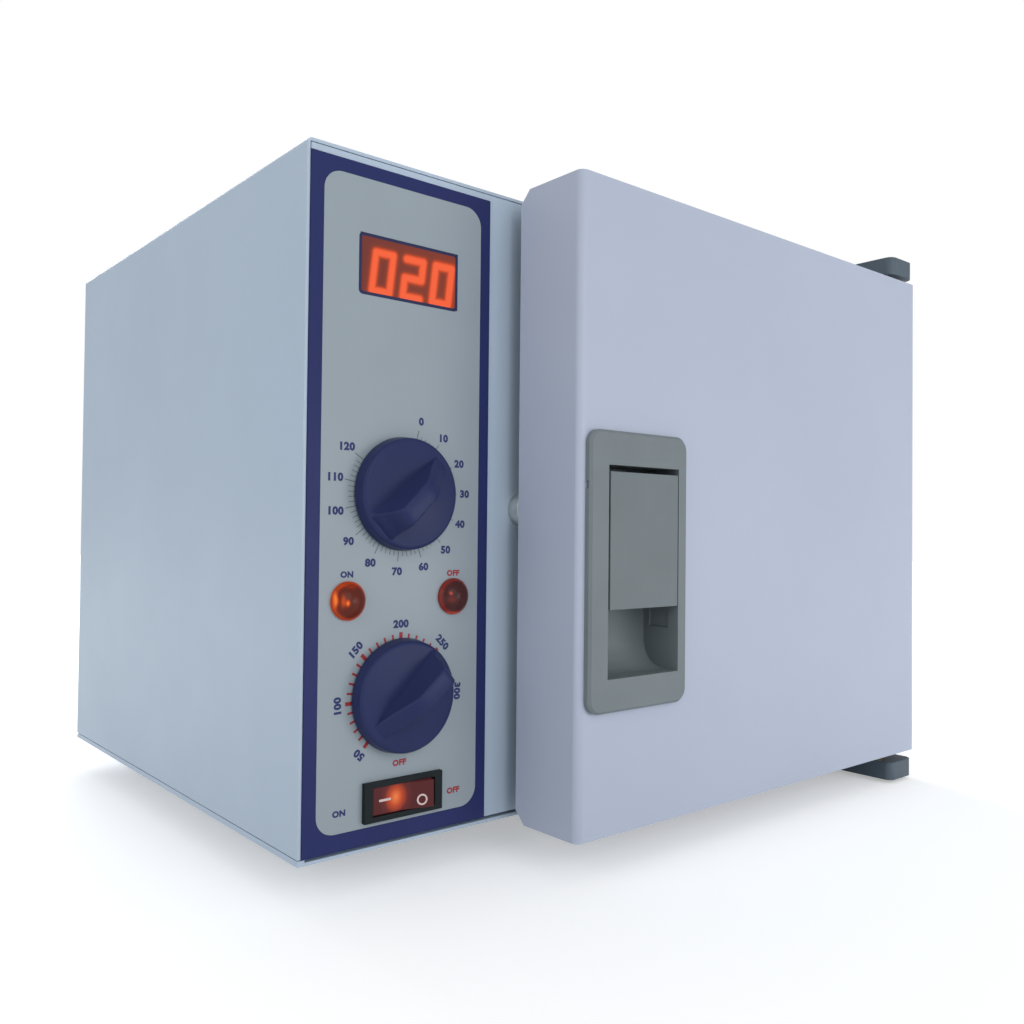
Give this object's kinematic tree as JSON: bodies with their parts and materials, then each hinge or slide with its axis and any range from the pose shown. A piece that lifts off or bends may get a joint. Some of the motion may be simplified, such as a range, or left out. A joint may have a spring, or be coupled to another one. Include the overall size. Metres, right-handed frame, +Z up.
{
  "type": "dry heat sterilizer",
  "caption": "Bench-top dry heat sterilizer: insulated steel oven with a side-hinged door, flush paddle latch, timer and thermostat dials, lamps and a temperature display.",
  "frame": {"origin": "centre of the bounding box at the undersides of the feet", "axes": "+X to the right along the front (the longest side), +Y from the door to the back, +Z up (the shortest side)"},
  "size_m": [0.335, 0.3014, 0.2713],
  "materials": {
    "body_paint": "satin light grey-blue enamel",
    "door_paint": "satin light grey-blue enamel",
    "overlay_navy": "printed film, navy",
    "overlay_silver": "printed film, silver grey",
    "stainless": "brushed stainless",
    "tray_aluminium": "satin pressed aluminium",
    "mineral_wool": "packed mineral fibre",
    "heater_sheath": "heat darkened sheath",
    "brass_fittings": "turned brass",
    "zinc_screws": "zinc plated steel",
    "copper_tube": "thin copper tube",
    "control_case": "moulded pale plastic",
    "knob_navy": "moulded navy plastic, satin",
    "lamp_orange": "translucent orange lens",
    "lamp_red": "translucent red lens",
    "black_plastic": "moulded black plastic",
    "window_red": "smoked red filter",
    "board_green": "circuit board lacquer",
    "wire_insulation": "heat resistant sleeving",
    "foot_rubber": "black rubber",
    "bracket_enamel": "dark grey enamel",
    "dark_screws": "blackened steel",
    "striker_steel": "turned steel",
    "silicone": "pale silicone rubber",
    "latch_grey": "moulded grey plastic",
    "rocker_red": "translucent red rocker"
  },
  "bodies": {
    "casing": {"outer_cover": "body_paint", "base_tray": "body_paint", "back_panel": "body_paint", "front_fascia": "body_paint", "overlay_border": "overlay_navy", "overlay_field": "overlay_silver", "partition_plate": "stainless", "chamber_liner": "stainless", "insulation_slabs": "mineral_wool", "heater_tube": "heater_sheath", "heater_glands": "brass_fittings", "heater_guard": "stainless", "tray_racks": "stainless", "rack_studs": "zinc_screws", "tray_lower": "tray_aluminium", "tray_upper": "tray_aluminium", "thermostat_body": "control_case", "thermostat_capillary": "copper_tube", "bulb_clips": "stainless", "display_probe": "zinc_screws", "thermal_cutout": "control_case", "timer_body": "control_case", "control_screws": "zinc_screws", "lamp_lens_left": "lamp_orange", "lamp_lens_right": "lamp_red", "lamp_bodies": "black_plastic", "display_window": "window_red", "display_module": "black_plastic", "display_board": "board_green", "rocker_housing": "black_plastic", "inlet_socket": "black_plastic", "inlet_pins": "brass_fittings", "fuse_holder": "black_plastic", "terminal_block": "control_case", "wiring": "wire_insulation", "back_screws": "zinc_screws", "feet": "foot_rubber", "foot_screws": "zinc_screws", "hinge_bracket_top": "bracket_enamel", "hinge_bracket_bottom": "bracket_enamel", "bracket_screws": "dark_screws", "hinge_pins": "zinc_screws", "striker": "striker_steel"},
    "door": {"door_outer": "door_paint", "door_inner_panel": "stainless", "door_insulation": "mineral_wool", "door_gasket": "silicone", "door_screws": "zinc_screws", "door_bushes": "brass_fittings", "latch_bezel": "latch_grey", "latch_spring": "zinc_screws"},
    "latch": {"latch_paddle": "latch_grey", "latch_shaft": "zinc_screws", "latch_claw": "zinc_screws"},
    "timer_dial": {"timer_knob": "knob_navy", "timer_shaft": "zinc_screws"},
    "thermostat_dial": {"thermostat_knob": "knob_navy", "thermostat_shaft": "zinc_screws"},
    "rocker": {"rocker_button": "rocker_red"}
  },
  "joints": [
    {"name": "door_swing", "type": "hinge", "parent": "casing", "child": "door", "pos_m": [0.1545, -0.1307, 0.1375], "axis": [0, 0, 1], "range_deg": [0, 170]},
    {"name": "latch_pull", "type": "hinge", "parent": "door", "child": "latch", "pos_m": [-0.04715, -0.1433, 0.139], "axis": [-1, 0, 0], "range_deg": [0, 25], "stiffness_Nm_per_rad": 0.15, "springref_deg": -14.32, "deforming": ["latch_spring"]},
    {"name": "timer_turn", "type": "hinge", "parent": "casing", "child": "timer_dial", "pos_m": [-0.1279, -0.1068, 0.1405], "axis": [0, 1, 0], "range_deg": [-210, 78]},
    {"name": "thermostat_turn", "type": "hinge", "parent": "casing", "child": "thermostat_dial", "pos_m": [-0.1279, -0.1068, 0.0683], "axis": [0, 1, 0], "range_deg": [-229, 43]},
    {"name": "power_rocker", "type": "hinge", "parent": "casing", "child": "rocker", "pos_m": [-0.1268, -0.1038, 0.0321], "axis": [0, 0, 1], "range_deg": [0, 16]}
  ]
}
